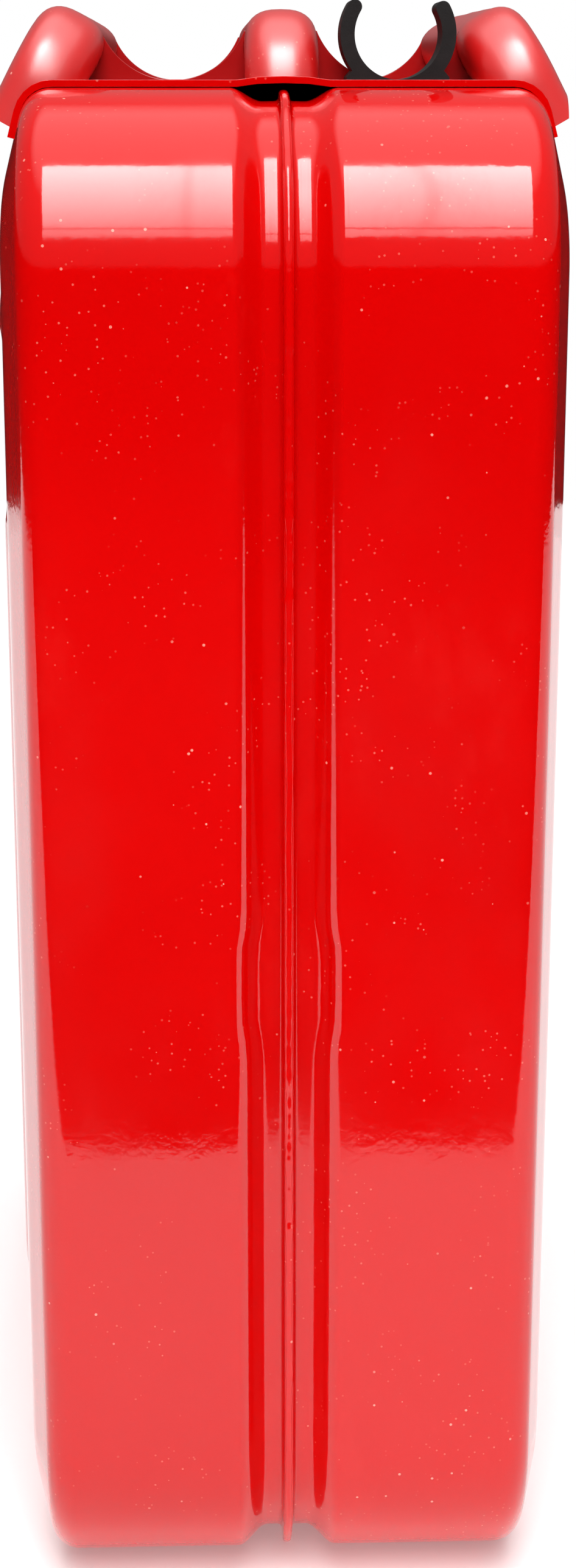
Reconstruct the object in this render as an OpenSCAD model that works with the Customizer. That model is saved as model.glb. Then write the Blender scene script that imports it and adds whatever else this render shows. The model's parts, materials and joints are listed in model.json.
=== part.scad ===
// Steel jerry can, 20 litre pattern: two deep-drawn half shells, three handles, cam-lever closure.
// Millimetres. X is across the can, Y runs from the rear (-Y) to the filler end (+Y), Z is up.
// The origin is the centre of the footprint, on the surface the can stands on.

/* [Body] */
// Length of the body, rear face to front face
body_l = 345; // [335:1:355]
// Height of the two shoulders that carry the handles
shoulder_z = 449.5; // [440:0.5:460]
// Height of the floor of the hand hollow
hollow_z = 424; // [420:1:436]
// Half width of the body at the flat margin of its wide sides
margin_x = 79; // [76:0.5:82]
// How far the pressed panels stand out from the margin
panel_rise = 2; // [1:0.5:3]
// How deep the crossed channels lie below the margin
cross_depth = 4; // [2:0.5:6]
// Sheet thickness of the shells
sheet = 1; // [0.8:0.1:1.5]
// Radius of the bottom and rear top corners
corner_r = 50; // [45:1:55]

/* [Seam] */
// Depth of the recess along the weld seam
recess = 6; // [4:0.5:8]
// Half width of the recess floor
recess_floor_x = 6; // [4:0.5:8]
// Half width of the recess at the panel surface
recess_top_x = 15; // [12:0.5:20]
// Half thickness of the flange that carries the weld
flange_x = 1.3; // [1:0.1:1.6]

/* [Handles] */
// Height of the top of the handles
handle_top_z = 471; // [468:0.5:474]
// Width of a handle bar
handle_w = 21; // [18:0.5:24]
// Distance between the middle handle and an outer one
handle_pitch = 62; // [58:0.5:66]
// Outward lean of the outer handles at their feet, in degrees
handle_splay = 28; // [0:1:35]
// Radius of the scallops in the handle webs
scallop_r = 22.3; // [20:0.1:24]
// Inner radius of the spout clip
clip_r = 12.3; // [11:0.1:13.5]
// Thickness of the spout clip's ring
clip_t = 4; // [3:0.25:5]

/* [Closure] */
// Slope of the filler shoulder below the horizontal
slope = 40; // [38:1:42]
// Inner radius of the filler neck
neck_r = 22.5; // [20:0.5:23]
// Wall of the filler neck
neck_wall = 2.5; // [2:0.25:3]
// Height of the filler neck above the shoulder
neck_h = 14; // [12:0.5:16]
// Radius of the hinge, lever and catch pins
pin_r = 2.5; // [2:0.1:3]
// Running clearance between a pin and the part that turns on it
pin_gap = 0.06; // [0.03:0.01:0.1]

/* [Hidden] */
$fn = 64;
fit_gap = 0.1;                       // between pieces that only rest on each other
front_y = body_l / 2;
slope_r = 45;                        // rounding above and below the filler slope
slope_len = 92;                      // straight part of the filler slope
hollow_out_r = 36;                   // rounding at the top edges of the hand hollow
hollow_in_r = 8;                     // rounding at the foot of the hand hollow
hollow_turn = acos(1 - (shoulder_z - hollow_z) / (hollow_out_r + hollow_in_r));
hollow_run = (hollow_out_r + hollow_in_r) * sin(hollow_turn);

// Places along the top, worked forward from the front face.
slope_end_y = front_y - slope_r * (1 - sin(slope));
slope_start_y = slope_end_y - slope_len * cos(slope);
slope_start_z = shoulder_z - slope_r * (1 - cos(slope));
front_shoulder_end = slope_start_y - slope_r * sin(slope);
front_shoulder_start = front_shoulder_end - 30;
rear_shoulder_start = corner_r - front_y;
rear_shoulder_end = rear_shoulder_start + 30;

// Filler neck seat: a point on the slope, with the neck square to it.
neck_u = 46;                         // distance down the slope from its upper end
neck_y = slope_start_y + neck_u * cos(slope);
neck_z = slope_start_z - neck_u * sin(slope);
neck_out_r = neck_r + neck_wall;

// The side outline as arcs in order: [centre y, centre z, radius, first angle, last angle, sense, steps].
// Sense 1 is an outer corner, whose radius shrinks as the outline is inset, and -1 an inner one.
function outline_arcs() = [
    [corner_r - front_y, corner_r, corner_r, 270, 180, 1, 8],
    [corner_r - front_y, shoulder_z - corner_r, corner_r, 180, 90, 1, 8],
    [rear_shoulder_end, shoulder_z - hollow_out_r, hollow_out_r, 90, 90 - hollow_turn, 1, 4],
    [rear_shoulder_end + hollow_run, hollow_z + hollow_in_r, hollow_in_r, 270 - hollow_turn, 270, -1, 4],
    [front_shoulder_start - hollow_run, hollow_z + hollow_in_r, hollow_in_r, 270, 270 + hollow_turn, -1, 4],
    [front_shoulder_start, shoulder_z - hollow_out_r, hollow_out_r, 90 + hollow_turn, 90, 1, 4],
    [front_shoulder_end, shoulder_z - slope_r, slope_r, 90, 90 - slope, 1, 4],
    [front_y - slope_r, slope_start_z - slope_len * sin(slope) - slope_r * cos(slope), slope_r,
        90 - slope, 0, 1, 5],
    [front_y - corner_r, corner_r, corner_r, 0, -90, 1, 8]
];
function arc_points(a, inset) = [
    for (i = [0 : a[6]])
        let (t = a[3] + (a[4] - a[3]) * i / a[6], r = a[2] - a[5] * inset)
        [a[0] + r * cos(t), a[1] + r * sin(t)]
];
// Points added along the long straight sides, for the pressed cross and the end of the seam recess to follow.
function between(p, q, n) = [for (i = [1 : n]) p + (q - p) * i / (n + 1)];
function outline(inset) = let (a = outline_arcs(), p = [for (x = a) arc_points(x, inset)]) [
    each p[0], each between(p[0][8], p[1][0], 5),
    each p[1], each p[2], for (i = [1 : 4]) p[3][i], for (i = [0 : 3]) p[4][i],
    each p[5], each p[6], each between(p[6][4], p[7][0], 7), each p[7],
    each between(p[7][5], p[8][0], 4),
    each p[8], each between(p[8][8], p[0][0], 4)
];
function smooth(t) = let (c = max(0, min(1, t))) c * c * (3 - 2 * c);
// The seam recess runs out before the filler neck: 0 at the neck, 1 away from it.
function recess_share(p) = smooth((norm(p - [neck_y, neck_z]) - 32) / 20);

// Cross section of the outer skin, from the seam to the wide side, as [x, inset, share of the recess].
edge_r = 9;                          // bend between a narrow side and a wide side
edge_flare = 15;                     // the flank beyond the bend still flares by this angle
edge_meet = 28;                      // depth at which the straight flank would meet the margin
edge_end = 34;                       // depth at which the margin begins
function flank(depth, off) =
    [margin_x - (edge_meet - depth) * tan(edge_flare), depth] + off * [cos(edge_flare), -sin(edge_flare)];
edge_c = flank(edge_r * (1 - sin(edge_flare)), 0)[0] - edge_r * cos(edge_flare);
// The edge of a wide side as [x, depth below the narrow side], moved outward by off.
function edge_line(off) = [
    for (t = [0 : 15 : 90 - edge_flare]) [edge_c + (edge_r + off) * sin(t), edge_r - (edge_r + off) * cos(t)],
    for (f = [0 : 0.5 : 1])
        let (a = flank(2 * edge_meet - edge_end, 0), b = [margin_x, edge_meet], c = [margin_x, edge_end],
             t = 90 - edge_flare * (1 - f))
        a * (1 - f) * (1 - f) + b * 2 * f * (1 - f) + c * f * f + off * [sin(t), -cos(t)]
];
seam_top = 1.2;                      // how far the weld flange lies under the panel surface
skin_section = [
    [flange_x, seam_top, 0],
    [flange_x, 0.3, 1],
    [recess_floor_x, 0.3, 1],
    [(recess_floor_x * 2 + recess_top_x) / 3, 0.27, 0.86],
    [(recess_floor_x + recess_top_x * 2) / 3, 0.1, 0.18],
    [recess_top_x, 0, 0],
    for (p = edge_line(0)) [p[0], p[1], 0]
];
// A ring of 3D points at x = s[0], inset by s[1] plus the recess.
function skin_ring(s, grow = 0) = [
    for (i = [0 : len(outline(0)) - 1])
        let (share = recess_share(outline(0)[i]), q = outline(s[1] + grow + s[2] * share * recess)[i])
        [s[0], q[0], q[1]]
];

// Pressed relief of the wide side, measured outward from the margin.
cross_c = [0, 213];                  // centre of the crossed channels
cross_half = [128, 152];             // half length of a channel along Y and Z
channel_half = 9;                    // half width of a channel's floor
channel_ramp = 11;                   // run of a channel's flank
function to_line(p, d) = let (u = d / norm(d), along = max(-norm(d), min(norm(d), p * u))) norm(p - along * u);
function to_cross(p) =
    min(to_line(p - cross_c, cross_half), to_line(p - cross_c, [cross_half[0], -cross_half[1]]));
function channel(p) = 1 - smooth((to_cross(p) - channel_half) / channel_ramp);
function relief(p, inner) = panel_rise * inner - (cross_depth + panel_rise * inner) * channel(p);
// Rings over the wide side shrink the edge ring towards the cross's centre.
face_shares = [0.88, 0.74, 0.6, 0.46, 0.32, 0.18, 0.07];
function face_ring(edge, share, x) = [
    for (p = edge)
        let (q = cross_c + ([p[1], p[2]] - cross_c) * share)
        [x + relief(q, smooth((0.95 - share) / 0.1)), q[0], q[1]]
];

function middle_of(r) = [for (k = [0 : 2]) (min([for (p = r) p[k]]) + max([for (p = r) p[k]])) / 2];
// A closed skin over rings of equal length. Unless it closes on itself, a fan of triangles covers each end.
module skin(rings, closed_loop = false) {
    n = len(rings[0]);
    m = len(rings);
    last = closed_loop ? m - 1 : m - 2;
    middle = [for (r = [rings[0], rings[m - 1]]) middle_of(r)];
    sides = [
        for (j = [0 : last], i = [0 : n - 1])
            let (k = (j + 1) % m, h = (i + 1) % n)
            each [[j * n + i, j * n + h, k * n + h], [j * n + i, k * n + h, k * n + i]]
    ];
    fans = closed_loop ? [] : [
        for (i = [0 : n - 1])
            let (h = (i + 1) % n)
            each [[h, i, m * n], [(m - 1) * n + i, (m - 1) * n + h, m * n + 1]]
    ];
    points = [for (r = rings) each r, if (!closed_loop) each middle];
    polyhedron(points = points, faces = [each sides, each fans], convexity = 10);
}

// Half shell: the outer rings run from the seam to the wide side and the inner rings run back, as one loop.
module right_half() {
    outer = [for (s = skin_section) skin_ring(s)];
    edge = outer[len(outer) - 1];
    inner_section = [
        for (p = reversed(edge_line(-sheet))) [p[0], p[1], 0],
        [recess_top_x + 1, sheet, 0],
        [recess_floor_x + 1, sheet + 0.3, 1],
        [0, sheet + 0.3, 1]
    ];
    inner = [for (s = inner_section) skin_ring(s)];
    face_out = [for (f = face_shares) face_ring(edge, f, margin_x)];
    face_in = [for (f = face_shares) face_ring(edge, f, margin_x - sheet)];
    seam_ring = skin_ring([0, seam_top, 0]);
    rings = [seam_ring, each outer, each face_out];
    // Both ends of the run of rings are innermost rings of the wide side, and fans of triangles close them.
    difference() {
        skin([each reversed(face_in), each inner, each rings]);
        on_slope() translate([0, 0, -12]) cylinder(r = neck_out_r + fit_gap, h = 24);
    }
}

// Puts its children on the filler slope: local Z is the neck's axis and local Y points down the slope.
module on_slope() { translate([0, neck_y, neck_z]) rotate([-slope, 0, 0]) children(); }

module left_shell() { color([0.9, 0.02, 0.02]) mirror([1, 0, 0]) right_half(); }
module right_shell() { color([0.9, 0.02, 0.02]) right_half(); }

// Weld bead along the edge of the seam flange, broken only by the filler neck.
module seam_weld() {
    bead = flange_x - 0.1;
    color([0.85, 0.05, 0.04])
    difference() {
        skin([for (s = [[-bead, seam_top - 0.05], [bead, seam_top - 0.05], [bead, seam_top - 0.4],
                        [0, seam_top - 0.75], [-bead, seam_top - 0.4]])
                  skin_ring([s[0], s[1], 0])], true);
        on_slope() translate([0, 0, -12]) cylinder(r = neck_out_r + 0.3, h = 24);
    }
}

// ---- Saddles, webs and handles ----

plate_t = 1;                         // sheet of the saddles
lip_h = 0.9;                         // lip along the outer edge of a saddle
plate_top = shoulder_z + fit_gap + plate_t;
saddle_w = 38.5;                     // length of a saddle along the can
saddle_depth = 14;                   // how far a saddle reaches down the flanks
rear_saddle_y = rear_shoulder_start;
front_saddle_y = front_shoulder_end - saddle_w;
tube_r = handle_w / 2;
tube_z = handle_top_z - tube_r;
tube_in_r = tube_r - 1.2;
bend_r = 14;                         // centreline radius of the bent handle ends
tube_rear_y = rear_shoulder_start + 26.5;
tube_front_y = front_shoulder_end - 26.5;
foot_x = margin_x + 1.7;             // outer handles are pressed flat here at their feet

// One side of the shoulder's cross section, moved outward by off, down to the given depth.
function shoulder_side(off, depth) = [
    [0, shoulder_z + off + 1], [7, shoulder_z + off + 0.8], [13, shoulder_z + off],
    for (p = edge_line(off)) if (p[1] < depth - 1) [p[0], shoulder_z - p[1]],
    if (depth < 2 * edge_meet - edge_end) [flank(depth, off)[0], shoulder_z - flank(depth, off)[1]]
];
function reversed(p) = [for (i = [len(p) - 1 : -1 : 0]) p[i]];
function mirrored(p) = [for (q = p) [-q[0], q[1]]];
function shoulder_line(off, depth) =
    [each reversed(mirrored(shoulder_side(off, depth))), each shoulder_side(off, depth)];
// Extrudes an XZ profile along Y, starting at y.
module along_y(y, len) { translate([0, y + len, 0]) rotate([90, 0, 0]) linear_extrude(len) children(); }
module band(lo, hi) {
    polygon([each shoulder_line(hi, saddle_depth), each reversed(shoulder_line(lo, saddle_depth))]);
}
// Everything under a saddle's upper surface, used to trim what stands on it.
module under_saddle(y, off) {
    along_y(y - 6, saddle_w + 6)
        polygon([each shoulder_line(off, 40), [margin_x + off, 370], [-margin_x - off, 370]]);
}
clip_base = 0.9;                     // thickness of the clip under its bore
clip_x = handle_pitch / 2 + 1.5;     // the clip stands between the middle and the right handle
clip_z = plate_top + 0.05 + clip_base + clip_r;
clip_y = rear_saddle_y + 7;
clip_len = 15;
mouth = [29, 149];                   // directions of the clip's two tips
module at_rivets() { for (s = [-4, 4]) translate([clip_x, clip_y + clip_len / 2 + s, 0]) children(); }

// Saddle plate with a lip along its outer edge and two tabs turned down into the recess at its inner edge.
module saddle(y, lip_y, tab_y) {
    floor_z = shoulder_z - recess - 0.05;
    color([0.9, 0.02, 0.02])
    union() {
        along_y(y, saddle_w) band(fit_gap, fit_gap + plate_t);
        along_y(lip_y, 1) band(fit_gap + plate_t / 2, fit_gap + plate_t + lip_h);
        for (m = [0, 1]) mirror([m, 0, 0]) along_y(tab_y, 1.5)
            polygon([[flange_x + 0.4, floor_z], [recess_floor_x + 0.3, floor_z],
                     [recess_floor_x + 3.2, floor_z + 0.9], [recess_floor_x + 6.1, floor_z + 5.2],
                     [recess_floor_x + 6.1, shoulder_z + 0.5], [flange_x + 0.4, shoulder_z + 1]]);
    }
}
module rear_saddle() {
    difference() {
        saddle(rear_saddle_y, rear_saddle_y, rear_saddle_y + saddle_w - 10);
        at_rivets() translate([0, 0, shoulder_z - 1]) cylinder(r = 1.65, h = 4, $fn = 32);
    }
}
module front_saddle() { saddle(front_saddle_y, front_saddle_y + saddle_w - 1, front_saddle_y + 8.5); }

// A handle bar's path as a solid of radius r: straight over the hand hollow, bent down at both ends.
module tube_end(r, foot) {
    translate([0, 0, -bend_r]) rotate([0, -90, 0]) rotate_extrude(angle = 90) translate([bend_r, 0]) circle(r);
    if (foot > 0) translate([0, bend_r, -bend_r - foot]) cylinder(r = r, h = foot + 0.01);
}
module tube_path(r, foot) {
    union() {
        translate([0, tube_rear_y, 0]) rotate([-90, 0, 0]) linear_extrude(tube_front_y - tube_rear_y) circle(r);
        translate([0, tube_front_y, 0]) tube_end(r, foot);
        translate([0, tube_rear_y, 0]) rotate([0, 0, 180]) tube_end(r, foot);
        // A slight ring where each bend begins.
        for (y = [tube_rear_y, tube_front_y])
            translate([0, y - 0.6, 0]) rotate([-90, 0, 0]) cylinder(r = r + 0.12, h = 1.2);
    }
}
// side: -1 left, 0 middle, 1 right. The outer handles lean outward at their feet and are pressed flat there.
module handle(side) {
    color([0.9, 0.02, 0.02])
    difference() {
        translate([side * handle_pitch, 0, tube_z]) rotate([0, -side * handle_splay, 0]) tube_path(tube_r, 12);
        translate([side * handle_pitch, 0, tube_z]) rotate([0, -side * handle_splay, 0]) tube_path(tube_in_r, 0);
        under_saddle(rear_saddle_y, fit_gap + plate_t + 0.05);
        translate([0, 6, 0]) under_saddle(front_saddle_y, fit_gap + plate_t + 0.05);
        if (side != 0) {
            translate([side * (foot_x + 25) - 25, -200, 400]) cube([50, 400, 100]);
            translate([side * 75 - 75, -200, 397.5]) cube([150, 400, 40]);
        }
    }
}
module left_handle() { handle(-1); }
module centre_handle() { handle(0); }
module right_handle() { handle(1); }

// Upright plate between the handles, scalloped down to a strip over the saddle.
module web(y) {
    color([0.55, 0.01, 0.02])
    difference() {
        translate([-60, y, plate_top - 8]) cube([120, 1.5, 22.5]);
        for (s = [-1, 1]) translate([s * 31, y - 1, plate_top + 0.8 + scallop_r]) rotate([-90, 0, 0])
            cylinder(r = scallop_r, h = 4);
        for (s = [-1, 0, 1]) translate([s * handle_pitch, y - 1, tube_z]) rotate([-90, 0, 0])
            cylinder(r = tube_r + 0.05, h = 4);
        along_y(y - 2, 6)
            polygon([each shoulder_line(fit_gap + plate_t + 0.05, saddle_depth), [90, 400], [-90, 400]]);
    }
}
module rear_web() { web(tube_rear_y + 1); }
module front_web() { web(tube_front_y - 2.5); }

// ---- Spout clip ----

module spout_clip() {
    color([0.03, 0.03, 0.03])
    difference() {
        union() {
            difference() {
                translate([clip_x, clip_y, clip_z]) rotate([-90, 0, 0]) cylinder(r = clip_r + clip_t, h = clip_len);
                along_y(clip_y - 1, clip_len + 2) translate([clip_x, clip_z])
                    polygon([[0, 0], 40 * [cos(mouth[0]), sin(mouth[0])], 40 * [cos(60), sin(60)],
                             40 * [cos(120), sin(120)], 40 * [cos(mouth[1]), sin(mouth[1])]]);
            }
            for (t = mouth)
                translate([clip_x, clip_y, clip_z] + (clip_r + clip_t / 2) * [cos(t), 0, sin(t)])
                    rotate([-90, 0, 0]) cylinder(r = clip_t / 2, h = clip_len, $fn = 32);
            along_y(clip_y, clip_len) translate([clip_x, 0])
                polygon([[-14.5, plate_top + 0.05], [14.5, plate_top + 0.05], [14.5, plate_top + 1.6],
                         [12.5, clip_z - 9.4], [-12.5, clip_z - 9.4], [-14.5, plate_top + 1.6]]);
        }
        translate([clip_x, clip_y - 1, clip_z]) rotate([-90, 0, 0]) cylinder(r = clip_r, h = clip_len + 2);
        translate([clip_x - 30, clip_y - 1, plate_top - 9.95]) cube([60, clip_len + 2, 10]);
        at_rivets() translate([0, 0, plate_top - 1]) cylinder(r = 1.65, h = 4, $fn = 32);
        at_rivets() translate([0, 0, plate_top + 0.05]) cylinder(r1 = 1.65, r2 = 3, h = 1.05, $fn = 32);
    }
}
// Two rivets peened flush in the clip's base.
module clip_rivets() {
    color([0.7, 0.7, 0.72])
    at_rivets() union() {
        translate([0, 0, shoulder_z + fit_gap]) cylinder(r = 1.6, h = plate_t + 0.15, $fn = 32);
        translate([0, 0, plate_top + 0.1]) cylinder(r1 = 1.6, r2 = 2.6, h = 0.75, $fn = 32);
    }
}

// ---- Filler neck and closure, in the neck's own directions ----

tight = 0.02;                        // a pin in the ears that hold it
hinge_y = -37;                       // lid hinge
hinge_z = 6;
catch_y = 34;                        // catch pin
catch_z = 9;
pivot_y = 23;                        // lever pivot
pivot_z = 22.5;
lid_r = neck_out_r + 0.8;            // inside of the lid's skirt
lid_top = neck_h + 2.1;              // underside of the lid's disc
module x_rod(y, z, r, x) { translate([-x, y, z]) rotate([0, 90, 0]) cylinder(r = r, h = 2 * x); }
module x_plate(x, t) { translate([x, 0, 0]) rotate([90, 0, 90]) linear_extrude(t) children(); }

neck_wide_r = neck_r + 0.9;          // the bore widens to this radius above and below its land
neck_land = [0.6, 9.8];              // heights between which the bore has its true radius
module filler_neck() {
    color([0.9, 0.02, 0.02])
    on_slope() difference() {
        union() {
            translate([0, 0, -6]) cylinder(r = neck_out_r, h = neck_h + 6);
            translate([0, 0, 0.05]) cylinder(r = 31, h = 1.5);
        }
        translate([0, 0, -7]) cylinder(r = neck_r, h = neck_h + 9);
        translate([0, 0, -7]) cylinder(r = neck_wide_r, h = 7 + neck_land[0]);
        translate([0, 0, neck_land[1]]) cylinder(r = neck_wide_r, h = neck_h);
    }
}
// Breather: held against the neck's inner end, it reaches back under the hand hollow.
module vent_tube() {
    color([0.75, 0.75, 0.76])
    on_slope() translate([0, -neck_out_r - 5.1, -44]) difference() {
        cylinder(r = 5, h = 40, $fn = 32);
        translate([0, 0, -1]) cylinder(r = 4.2, h = 50, $fn = 32);
    }
}
// A base plate with two ears that hold a pin across the can.
module bracket(y, z, y0, y1, x) {
    difference() {
        union() {
            translate([-x - 4, y0, 0.05]) cube([2 * x + 8, y1 - y0, 1.5]);
            for (e = [-x - 2, x]) {
                translate([e, y, z]) rotate([0, 90, 0]) cylinder(r = 4.5, h = 2);
                translate([e, y - 4.5, 0.05]) cube([2, 9, z]);
            }
        }
        x_rod(y, z, pin_r + tight, x + 10);
        translate([0, 0, -1]) cylinder(r = 31.05, h = 3);
    }
}
module hinge_bracket() { color([0.9, 0.02, 0.02]) on_slope() bracket(hinge_y, hinge_z, -45.5, -28, 12.5); }
module catch_bracket() { color([0.9, 0.02, 0.02]) on_slope() bracket(catch_y, catch_z, 26, 42, 13); }
module lid_hinge_pin() { color([0.7, 0.7, 0.72]) on_slope() x_rod(hinge_y, hinge_z, pin_r, 15.5); }
module catch_pin() { color([0.7, 0.7, 0.72]) on_slope() x_rod(catch_y, catch_z, pin_r, 16); }

module lid() {
    color([0.9, 0.02, 0.02])
    on_slope() difference() {
        union() {
            translate([0, 0, 8]) cylinder(r = lid_r + 1.5, h = lid_top - 7.5);
            translate([0, 0, lid_top + 0.5]) cylinder(r1 = lid_r + 1.5, r2 = lid_r, h = 1);
        }
        translate([0, 0, 7]) cylinder(r = lid_r, h = lid_top - 7);
        translate([0, 0, 7]) cylinder(r = 1.65, h = 20, $fn = 32);
    }
}
module lid_gasket() {
    color([0.05, 0.05, 0.05])
    on_slope() translate([0, 0, neck_h + 0.05]) difference() {
        cylinder(r = lid_r - 0.1, h = 2);
        translate([0, 0, -1]) cylinder(r = 20.1, h = 4);
    }
}
module gasket_plate() {
    color([0.75, 0.75, 0.76])
    on_slope() difference() {
        translate([0, 0, lid_top - 2.05]) cylinder(r = 20, h = 2);
        translate([0, 0, 7]) cylinder(r = 1.65, h = 20, $fn = 32);
        translate([0, 0, lid_top - 3]) cylinder(r = 3.4, h = 2.05, $fn = 32);
    }
}
module gasket_rivet() {
    color([0.7, 0.7, 0.72])
    on_slope() union() {
        translate([0, 0, lid_top - 1.5]) cylinder(r = 1.6, h = 5, $fn = 32);
        translate([0, 0, lid_top - 2]) cylinder(r = 3.2, h = 1, $fn = 32);
        translate([0, 0, lid_top + 3.1]) cylinder(r = 3.2, h = 1, $fn = 32);
    }
}
// Strap over the lid: barrel on the hinge pin at one end, two lugs for the lever at the other.
module hinge_strap() {
    z0 = lid_top + 1.55;
    color([0.9, 0.02, 0.02])
    on_slope() difference() {
        union() {
            x_plate(-9, 18) polygon([[28, z0], [28, z0 + 1.5], [-32, z0 + 1.5], [hinge_y - 3, hinge_z + 3],
                                     [hinge_y + 1, hinge_z + 1.5], [-31, z0 - 3], [-29, z0]]);
            x_rod(hinge_y, hinge_z, pin_r + 1.8, 12.2);
            for (e = [-9, 7]) {
                translate([e, pivot_y, pivot_z]) rotate([0, 90, 0]) cylinder(r = 4.5, h = 2);
                translate([e, pivot_y - 4.5, z0]) cube([2, 9, pivot_z - z0]);
            }
        }
        x_rod(hinge_y, hinge_z, pin_r + pin_gap, 20);
        x_rod(pivot_y, pivot_z, pin_r + tight, 20);
        translate([0, 0, 7]) cylinder(r = 1.65, h = 20, $fn = 32);
    }
}
module lever_pin() { color([0.7, 0.7, 0.72]) on_slope() x_rod(pivot_y, pivot_z, pin_r, 11.5); }
// Lever: two cheeks that turn on the pin, with hooks in front of the catch pin, under a bent thumb plate.
module lever() {
    hook_r = norm([catch_y - hinge_y, catch_z - hinge_z]) + pin_r + 0.2;
    top = [[20, 28], [27, 28], [37, 24.5], [44, 19.3], [48.5, 16.8], [50.5, 17.3]];
    color([0.75, 0.03, 0.03])
    on_slope() difference() {
        union() {
            for (e = [-10.8, 9.3]) difference() {
                union() {
                    x_plate(e, 1.5) polygon([
                        [pivot_y, pivot_z - 4.6], [pivot_y - 3.4, pivot_z - 3], [pivot_y - 4.4, pivot_z],
                        [pivot_y - 3, 29.4], each [for (i = [1 : 4]) top[i] + [0, 1]],
                        [45.5, 16.8], [41.5, 13], [41.5, 5], [38.5, 4], [33, 4], [28, 12.2], [28, 17.9]]);
                }
                translate([e - 1, hinge_y, hinge_z]) rotate([0, 90, 0]) intersection() {
                    cylinder(r = hook_r, h = 4, $fn = 180);
                    translate([-6, 40, 0]) cube([40, 60, 4]);
                }
            }
            x_plate(-10.8, 21.6) polygon([each top, each reversed([for (p = top) p + [0.3, 1.5]])]);
        }
        x_rod(pivot_y, pivot_z, pin_r + pin_gap, 20);
    }
}

left_shell();
right_shell();
seam_weld();
filler_neck();
vent_tube();
rear_saddle();
front_saddle();
rear_web();
front_web();
left_handle();
centre_handle();
right_handle();
spout_clip();
clip_rivets();
hinge_bracket();
lid_hinge_pin();
catch_bracket();
catch_pin();
lid();
lid_gasket();
gasket_plate();
gasket_rivet();
hinge_strap();
lever();
lever_pin();
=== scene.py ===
"""Red steel 20 litre jerry can, seen from behind: pressed shells, weld, handles, spout clip and closure."""
import json
import math

import bmesh
import bpy
import numpy as np
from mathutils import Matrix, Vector, noise


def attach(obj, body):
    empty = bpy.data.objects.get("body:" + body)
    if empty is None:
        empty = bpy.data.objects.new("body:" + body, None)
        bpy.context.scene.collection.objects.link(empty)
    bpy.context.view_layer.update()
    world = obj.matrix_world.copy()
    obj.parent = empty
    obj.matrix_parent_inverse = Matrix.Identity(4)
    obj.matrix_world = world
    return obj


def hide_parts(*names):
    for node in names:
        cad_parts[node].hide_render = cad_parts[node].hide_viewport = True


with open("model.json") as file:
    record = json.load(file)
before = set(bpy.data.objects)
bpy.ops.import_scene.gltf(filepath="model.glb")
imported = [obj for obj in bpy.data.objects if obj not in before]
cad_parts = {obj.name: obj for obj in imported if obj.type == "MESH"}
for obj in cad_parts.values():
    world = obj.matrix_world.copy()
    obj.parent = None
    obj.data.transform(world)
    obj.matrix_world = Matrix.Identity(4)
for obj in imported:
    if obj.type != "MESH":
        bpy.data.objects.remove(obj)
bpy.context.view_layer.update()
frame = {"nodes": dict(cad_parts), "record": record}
nodes = frame["nodes"]
record = frame["record"]
scene = bpy.context.scene
body_of = {node: body for body, names in record["behaviour"]["bodies"].items() for node in names}
MM = 0.001

# ---------------------------------------------------------------- dimensions of the can, in millimetres
LENGTH, SHOULDER, HOLLOW = 345.0, 449.5, 424.0      # body length, heights of shoulders and hand hollow
MARGIN, RISE, CROSS, SHEET = 79.0, 2.0, 4.0, 1.0    # half width, relief of the wide sides, sheet thickness
RECESS, FLOOR_X, TOP_X = 6.0, 6.0, 15.0             # seam recess: depth and half widths
FLANGE_X, FLANGE_IN = 1.3, 1.2                      # weld flange: half thickness and depth of its edge
CORNER, OUT_R, IN_R = 50.0, 36.0, 8.0               # radii of the side outline
SLOPE, SLOPE_R, SLOPE_LEN = math.radians(40), 45.0, 92.0
EDGE_R, FLARE, EDGE_MEET, EDGE_END = 9.0, math.radians(15), 28.0, 34.0
FRONT = LENGTH / 2
SHOULDER_LEN = 30.0                                 # flat part of each shoulder
TURN = math.acos(1 - (SHOULDER - HOLLOW) / (OUT_R + IN_R))
RUN = (OUT_R + IN_R) * math.sin(TURN)
SLOPE_TOP_Y = FRONT - SLOPE_R * (1 - math.sin(SLOPE)) - SLOPE_LEN * math.cos(SLOPE)
SLOPE_TOP_Z = SHOULDER - SLOPE_R * (1 - math.cos(SLOPE))
FRONT_SHOULDER_END = SLOPE_TOP_Y - SLOPE_R * math.sin(SLOPE)
FRONT_SHOULDER_START = FRONT_SHOULDER_END - SHOULDER_LEN
REAR_SHOULDER_START = CORNER - FRONT
REAR_SHOULDER_END = REAR_SHOULDER_START + SHOULDER_LEN
NECK_U = 46.0                                       # filler neck's place down the slope
NECK = Vector((0, SLOPE_TOP_Y + NECK_U * math.cos(SLOPE), SLOPE_TOP_Z - NECK_U * math.sin(SLOPE)))
NECK_OUT = 25.0
NECK_CLEAR, NECK_FADE = 32.0, 20.0                  # where the recess begins round the neck, and its ramp
LIP_FILL = 0.42                                     # share of the recess missing under the rear saddle
LIP_DOWN, LIP_IN = 24.0, 6.0                        # where that share begins below and behind the shoulder
PANEL_CENTRE = np.array([0.0, 213.0])               # centre of the crossed channels, as y and z
CROSS_Y, CROSS_Z = 128.0, 152.0                     # half length of a channel along y and z
CHANNEL_HALF, CHANNEL_RAMP = 9.0, 11.0              # half width of a channel's floor, and its flank
PANEL_SHARE, PANEL_RAMP = 0.96, 0.08                # the panel rises inside this share of the edge ring
WAVE_WIDE, WAVE_SMALL = 0.22, 0.035                 # depth of the slow and the short waves of the sheet
DENT_LOW, DENT_HIGH, DENT_FADE = 182.0, 212.0, 5.0  # heights of the shallow knock beside the rear recess
EDGE_SHARP = math.radians(32)                       # sharper edges than this are bevelled


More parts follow.
